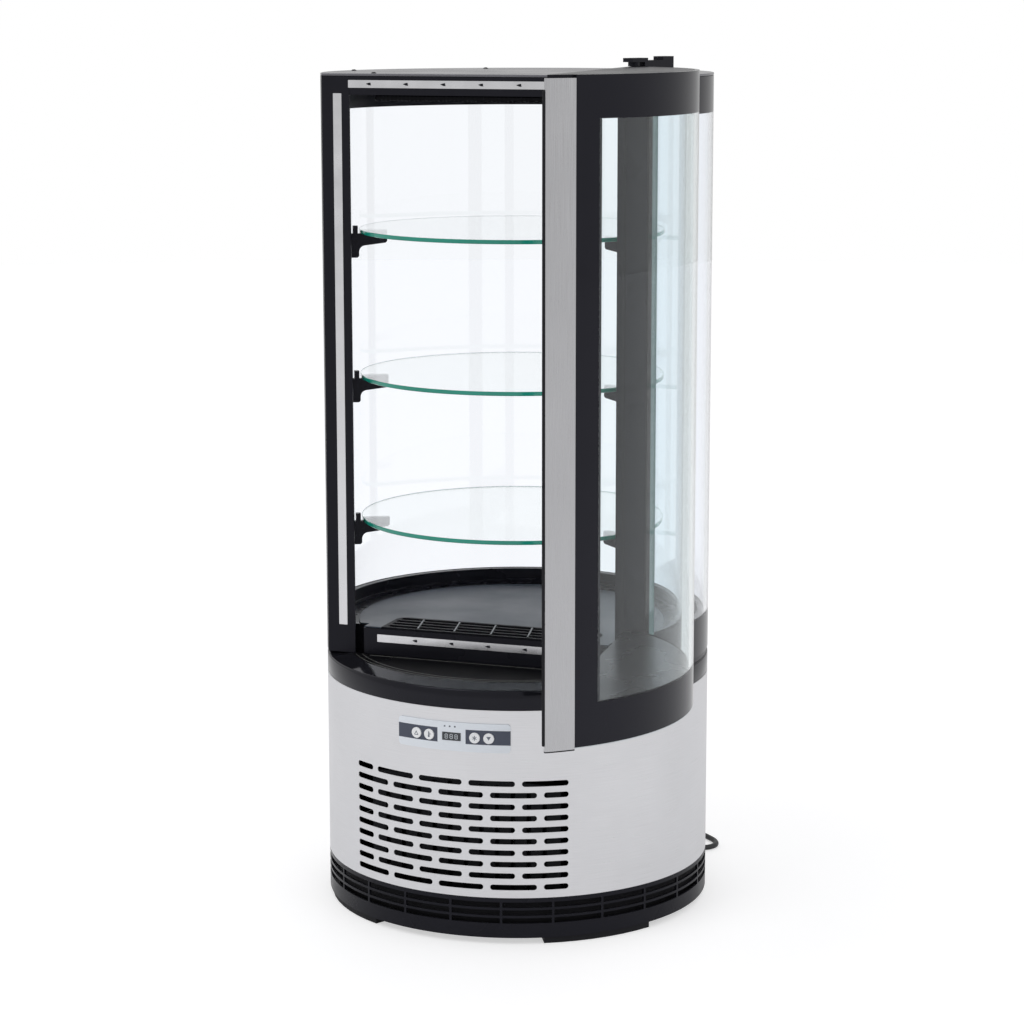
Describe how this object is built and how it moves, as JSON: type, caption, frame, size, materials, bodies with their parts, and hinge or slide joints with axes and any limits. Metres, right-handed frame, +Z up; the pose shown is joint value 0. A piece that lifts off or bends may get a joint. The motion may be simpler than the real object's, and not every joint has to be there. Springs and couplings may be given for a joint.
{
  "type": "cake display case",
  "caption": "Round refrigerated countertop display case: brushed steel drum base, curved glass cabinet with glass shelves, hinged curved glass door standing open.",
  "frame": {"origin": "centre of the base pan's underside, on the axis of the round body, 8 mm above the floor", "axes": "+Z up, -Y towards the front opening, +X to the right, where the door hangs"},
  "size_m": [0.5575, 0.8794, 1.0533],
  "materials": {
    "drum_steel": "vertical-grain brushed stainless sheet",
    "strip_steel": "satin magnetic steel strip",
    "handle_steel": "brushed stainless door handle profile",
    "black_moulding": "semi-gloss black moulded plastic",
    "black_frame": "semi-gloss black powder coat",
    "case_glass": "clear curved glass with black printed bands",
    "door_glazing": "clear curved glass with black printed bands",
    "shelf_glass": "clear float glass with green polished edge",
    "seal_rubber": "matt black rubber",
    "cord_sheath": "matt black cord sheath",
    "deck_paint": "blue-grey satin painted sheet",
    "panel_grey": "pale grey printed panel",
    "button_white": "white moulded button",
    "display_window": "dark display window",
    "pan_steel": "galvanised sheet",
    "inner_metal": "mill aluminium fins",
    "lamp_diffuser": "white lamp diffuser"
  },
  "bodies": {
    "case": {"base_pan": "pan_steel", "foot_front_left": "seal_rubber", "foot_front_right": "seal_rubber", "foot_rear_left": "seal_rubber", "foot_rear_right": "seal_rubber", "cord_gland": "seal_rubber", "plinth": "black_moulding", "collar": "black_moulding", "deck_housing": "black_moulding", "deck_grille": "black_moulding", "lower_ring": "black_moulding", "ceiling": "black_moulding", "rear_post": "black_moulding", "controller_box": "black_moulding", "drum_shell": "drum_steel", "rear_panel": "drum_steel", "control_fascia": "panel_grey", "display": "display_window", "deck_plate": "deck_paint", "post_left": "black_frame", "post_right": "black_frame", "header": "black_frame", "top_cover": "black_frame", "hinge_bracket_top": "black_frame", "hinge_bracket_bottom": "black_frame", "compressor": "black_frame", "condenser_motor": "black_frame", "catch_strip_left": "strip_steel", "catch_strip_top": "strip_steel", "catch_strip_bottom": "strip_steel", "fixed_glass": "case_glass", "led_lamp": "lamp_diffuser", "condenser": "inner_metal", "evaporator": "inner_metal", "cord": "cord_sheath", "cord_coil": "cord_sheath", "cord_tail": "cord_sheath", "plug": "cord_sheath", "shelf_lower": "shelf_glass", "bracket_left_lower": "black_moulding", "bracket_right_lower": "black_moulding", "shelf_middle": "shelf_glass", "bracket_left_middle": "black_moulding", "bracket_right_middle": "black_moulding", "shelf_upper": "shelf_glass", "bracket_left_upper": "black_moulding", "bracket_right_upper": "black_moulding"},
    "door": {"door_glass": "door_glazing", "door_handle": "handle_steel", "door_rail_bottom": "black_moulding", "door_rail_top": "black_moulding", "door_stile": "black_moulding", "door_hinge_stile": "black_moulding", "door_gasket": "seal_rubber"},
    "button_up": {"button_up": "button_white"},
    "button_set": {"button_set": "button_white"},
    "button_defrost": {"button_defrost": "button_white"},
    "button_down": {"button_down": "button_white"},
    "condenser_fan": {"condenser_fan": "black_moulding"},
    "evaporator_fan": {"evaporator_fan": "black_moulding"}
  },
  "joints": [
    {"name": "door_swing", "type": "hinge", "parent": "case", "child": "door", "pos_m": [0.19, -0.1295, 0], "axis": [0, 0, 1], "range_deg": [-95, 5]},
    {"name": "button_up_press", "type": "slide", "parent": "case", "child": "button_up", "axis": [0.177, 0.9842, 0], "range_m": [0, 0.001], "stiffness_N_per_m": 300},
    {"name": "button_set_press", "type": "slide", "parent": "case", "child": "button_set", "axis": [0.1069, 0.9943, 0], "range_m": [0, 0.001], "stiffness_N_per_m": 300},
    {"name": "button_defrost_press", "type": "slide", "parent": "case", "child": "button_defrost", "axis": [-0.1317, 0.9913, 0], "range_m": [0, 0.001], "stiffness_N_per_m": 300},
    {"name": "button_down_press", "type": "slide", "parent": "case", "child": "button_down", "axis": [-0.2015, 0.9795, 0], "range_m": [0, 0.001], "stiffness_N_per_m": 300},
    {"name": "condenser_fan_spin", "type": "hinge", "parent": "case", "child": "condenser_fan", "pos_m": [0, -0.136, 0.09188], "axis": [0, 1, 0], "continuous": true},
    {"name": "evaporator_fan_spin", "type": "hinge", "parent": "case", "child": "evaporator_fan", "pos_m": [0, 0.027, 0.2823], "axis": [0, 1, 0], "continuous": true}
  ]
}
